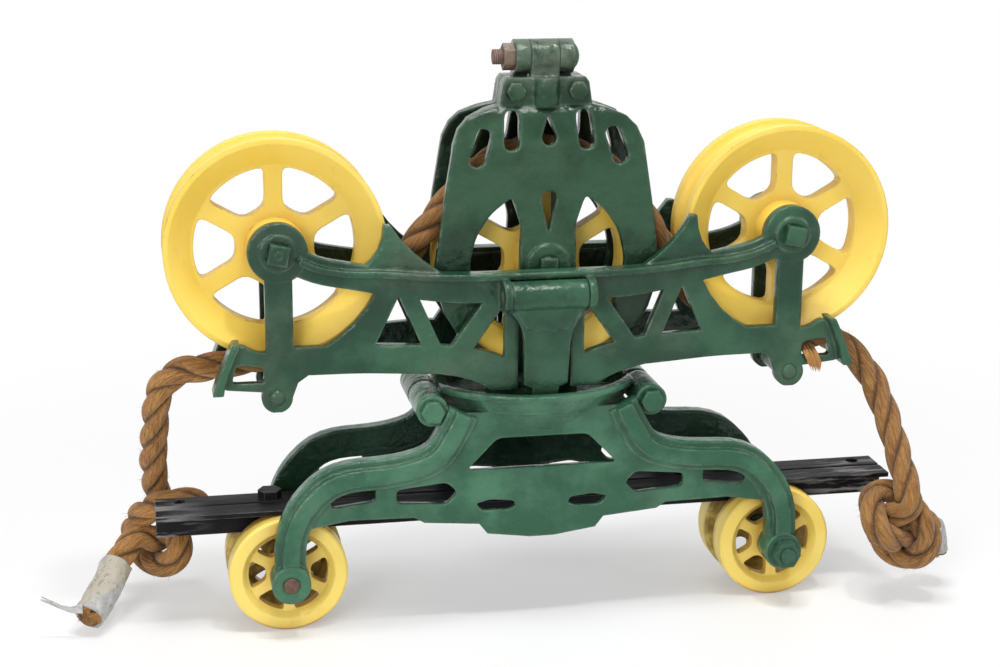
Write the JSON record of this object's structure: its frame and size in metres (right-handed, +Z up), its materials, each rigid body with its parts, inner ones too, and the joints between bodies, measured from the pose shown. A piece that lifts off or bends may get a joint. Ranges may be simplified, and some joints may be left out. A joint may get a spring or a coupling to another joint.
{
  "type": "hay trolley",
  "caption": "Cast hay trolley standing upside down on its track wheels, with a piece of track, a swivelling sheave carriage, a seated fall block and a knotted rope.",
  "frame": {"origin": "floor level under the middle of the trolley, without the free rope ends", "axes": "+X along the track to the right, +Y away from the viewer, +Z up as it stands in the picture"},
  "size_m": [0.7539, 0.1739, 0.4822],
  "materials": {
    "green_paint": "glossy green paint over a rough casting",
    "yellow_paint": "semi-gloss yellow paint, worn at the rims",
    "black_steel": "dark scale, worn grey along the edges",
    "rusty_iron": "bare rusty iron",
    "rope": "three-strand natural fibre rope",
    "grey_tape": "wrinkled cloth tape"
  },
  "bodies": {
    "truck": {"truck_frame_front": "green_paint", "truck_frame_rear": "green_paint", "tie_bolts": "green_paint", "tie_nuts": "green_paint", "tie_spacers": "rusty_iron", "stub_axles": "rusty_iron", "stub_nuts": "green_paint", "stub_washers": "rusty_iron"},
    "wheel_front_left": {"track_wheel_front_left": "yellow_paint"},
    "wheel_front_right": {"track_wheel_front_right": "yellow_paint"},
    "wheel_rear_left": {"track_wheel_rear_left": "yellow_paint"},
    "wheel_rear_right": {"track_wheel_rear_right": "yellow_paint"},
    "rail": {"rail_angle_front": "black_steel", "rail_angle_rear": "black_steel", "rail_rivets": "black_steel", "rail_studs": "black_steel"},
    "carriage": {"carriage_frame_front": "green_paint", "carriage_frame_rear": "green_paint", "swivel_yoke": "green_paint", "yoke_rivets": "green_paint", "sheave_axles": "green_paint", "sheave_nuts": "green_paint", "guide_pins": "green_paint", "latch_pins": "rusty_iron", "rope_in": "rope", "rope_out": "rope", "rope_left": "rope", "rope_right": "rope", "tape_left": "grey_tape", "tape_right": "grey_tape"},
    "side_sheave_left": {"sheave_left": "yellow_paint"},
    "side_sheave_right": {"sheave_right": "yellow_paint"},
    "fall_block": {"cheek_front": "green_paint", "cheek_rear": "green_paint", "head_bolts": "green_paint", "head_nuts": "green_paint", "fall_axle": "green_paint", "knuckle_bolt": "rusty_iron", "knuckle_nut": "rusty_iron", "rope_over": "rope"},
    "block_sheave": {"fall_sheave": "yellow_paint"},
    "front_latch": {"latch_front": "green_paint"},
    "rear_latch": {"latch_rear": "green_paint"}
  },
  "joints": [
    {"name": "rail_slide", "type": "slide", "parent": "truck", "child": "rail", "axis": [1, 0, 0], "range_m": [-0.09, 0.09]},
    {"name": "wheel_front_left_spin", "type": "hinge", "parent": "truck", "child": "wheel_front_left", "pos_m": [-0.21, -0.0215, 0.049], "axis": [0, 1, 0], "range_deg": [-106, 106]},
    {"name": "wheel_front_right_spin", "type": "hinge", "parent": "truck", "child": "wheel_front_right", "pos_m": [0.21, -0.0215, 0.049], "axis": [0, 1, 0], "range_deg": [-106, 106]},
    {"name": "wheel_rear_left_spin", "type": "hinge", "parent": "truck", "child": "wheel_rear_left", "pos_m": [-0.21, 0.0215, 0.049], "axis": [0, 1, 0], "range_deg": [-106, 106]},
    {"name": "wheel_rear_right_spin", "type": "hinge", "parent": "truck", "child": "wheel_rear_right", "pos_m": [0.21, 0.0215, 0.049], "axis": [0, 1, 0], "range_deg": [-106, 106]},
    {"name": "carriage_swivel", "type": "hinge", "parent": "truck", "child": "carriage", "pos_m": [0, 0, 0.187], "axis": [0, 0, 1], "range_deg": [-90, 0]},
    {"name": "sheave_left_spin", "type": "hinge", "parent": "carriage", "child": "side_sheave_left", "pos_m": [-0.213, 0, 0.321], "axis": [0, 1, 0], "continuous": true},
    {"name": "sheave_right_spin", "type": "hinge", "parent": "carriage", "child": "side_sheave_right", "pos_m": [0.213, 0, 0.321], "axis": [0, 1, 0], "continuous": true},
    {"name": "fall_block_lift", "type": "slide", "parent": "carriage", "child": "fall_block", "axis": [0, 0, 1], "range_m": [0, 0.006]},
    {"name": "fall_sheave_spin", "type": "hinge", "parent": "fall_block", "child": "block_sheave", "pos_m": [0.006, 0, 0.3022], "axis": [0, 1, 0], "continuous": true},
    {"name": "latch_front_swing", "type": "hinge", "parent": "carriage", "child": "front_latch", "pos_m": [0, -0.0605, 0.285], "axis": [1, 0, 0], "range_deg": [0, 3.5]},
    {"name": "latch_rear_swing", "type": "hinge", "parent": "carriage", "child": "rear_latch", "pos_m": [0, 0.0605, 0.285], "axis": [1, 0, 0], "range_deg": [-3.5, 0]}
  ],
  "couplings": [
    {"joint": "wheel_front_left_spin", "follows": "rail_slide", "rad_per_m": 20.408},
    {"joint": "wheel_front_right_spin", "follows": "rail_slide", "rad_per_m": 20.408},
    {"joint": "wheel_rear_left_spin", "follows": "rail_slide", "rad_per_m": 20.408},
    {"joint": "wheel_rear_right_spin", "follows": "rail_slide", "rad_per_m": 20.408},
    {"joint": "sheave_right_spin", "follows": "sheave_left_spin", "ratio": 1},
    {"joint": "fall_sheave_spin", "follows": "sheave_left_spin", "ratio": -1}
  ]
}
